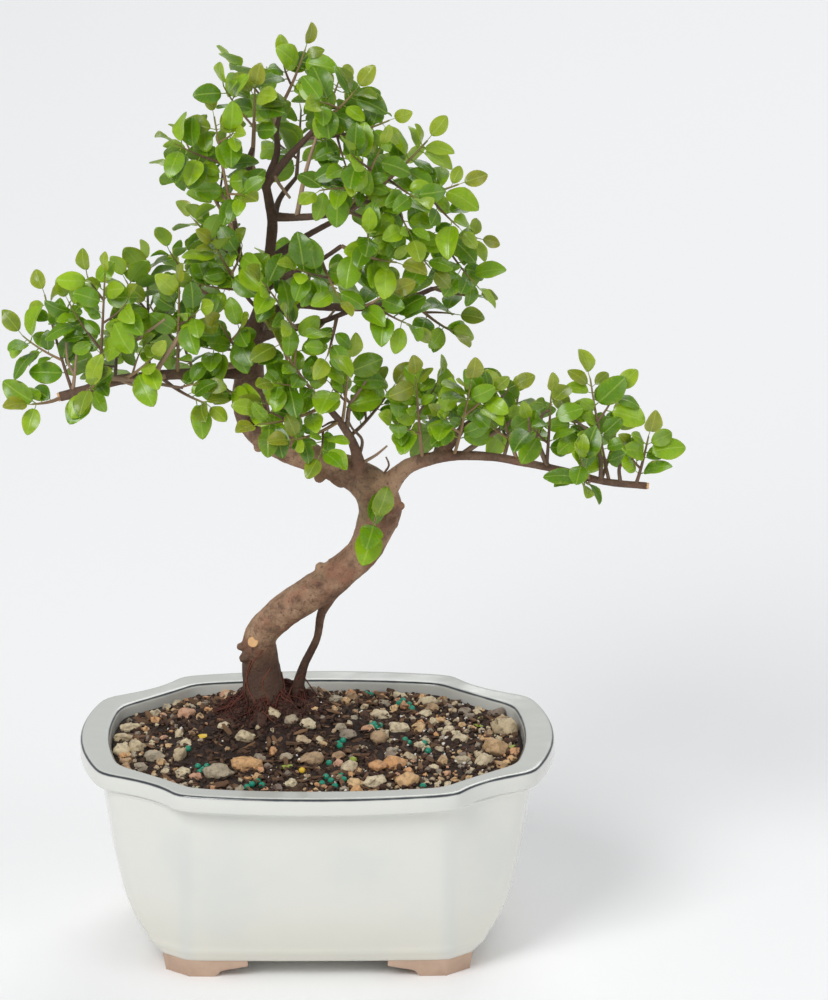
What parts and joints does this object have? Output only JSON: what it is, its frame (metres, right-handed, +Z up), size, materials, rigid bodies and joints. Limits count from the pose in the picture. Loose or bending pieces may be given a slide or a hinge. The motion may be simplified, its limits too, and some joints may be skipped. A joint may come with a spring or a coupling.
{
  "type": "potted bonsai tree",
  "caption": "Small potted tree with an S-curved trunk, long low side branches and glossy oval leaves, in a pale glazed pot with rounded notched corners and bracket feet.",
  "frame": {"origin": "middle of the whole object's box in plan, at the level that the feet stand on", "axes": "+Z up; +X to the right along the pot's long side; the front of the tree looks to -Y"},
  "size_m": [0.2882, 0.1548, 0.408],
  "materials": {
    "glaze": "gloss",
    "screen_plastic": "matte",
    "soil": "matte",
    "bark": "matte",
    "leaf": "satin"
  },
  "bodies": {
    "root": {"drain_screen_left": "screen_plastic", "drain_screen_right": "screen_plastic", "pot": "glaze", "shoot_apex": "leaf", "shoot_apex_left": "leaf", "shoot_apex_rear": "leaf", "shoot_back_left": "leaf", "shoot_back_low": "leaf", "shoot_back_right": "leaf", "shoot_back_up": "leaf", "shoot_brow": "leaf", "shoot_brow_low": "leaf", "shoot_collar": "leaf", "shoot_crown_long": "leaf", "shoot_crown_rear": "leaf", "shoot_crown_tip": "leaf", "shoot_end_front": "leaf", "shoot_end_rear": "leaf", "shoot_end_tip": "leaf", "shoot_end_up": "leaf", "shoot_far_right": "leaf", "shoot_front_hang": "leaf", "shoot_front_low": "leaf", "shoot_front_right": "leaf", "shoot_front_rise": "leaf", "shoot_front_tip": "leaf", "shoot_knee": "leaf", "shoot_left_end": "leaf", "shoot_left_fan": "leaf", "shoot_left_front": "leaf", "shoot_left_hang": "leaf", "shoot_left_inner": "leaf", "shoot_left_low": "leaf", "shoot_left_mid": "leaf", "shoot_left_point": "leaf", "shoot_left_rear": "leaf", "shoot_left_rear_in": "leaf", "shoot_low_back": "leaf", "shoot_low_bow": "leaf", "shoot_low_drop": "leaf", "shoot_low_end": "leaf", "shoot_low_front": "leaf", "shoot_low_mid": "leaf", "shoot_low_near": "leaf", "shoot_low_rear": "leaf", "shoot_low_rise": "leaf", "shoot_low_spray": "leaf", "shoot_mid_drop": "leaf", "shoot_mid_end": "leaf", "shoot_mid_rear": "leaf", "shoot_rise": "leaf", "shoot_rise_side": "leaf", "shoot_shoulder": "leaf", "shoot_shoulder_low": "leaf", "shoot_up_far": "leaf", "shoot_up_low": "leaf", "shoot_up_tip": "leaf", "shoot_wisp": "leaf", "soil": "soil", "trunk": "bark"}
  },
  "joints": []
}
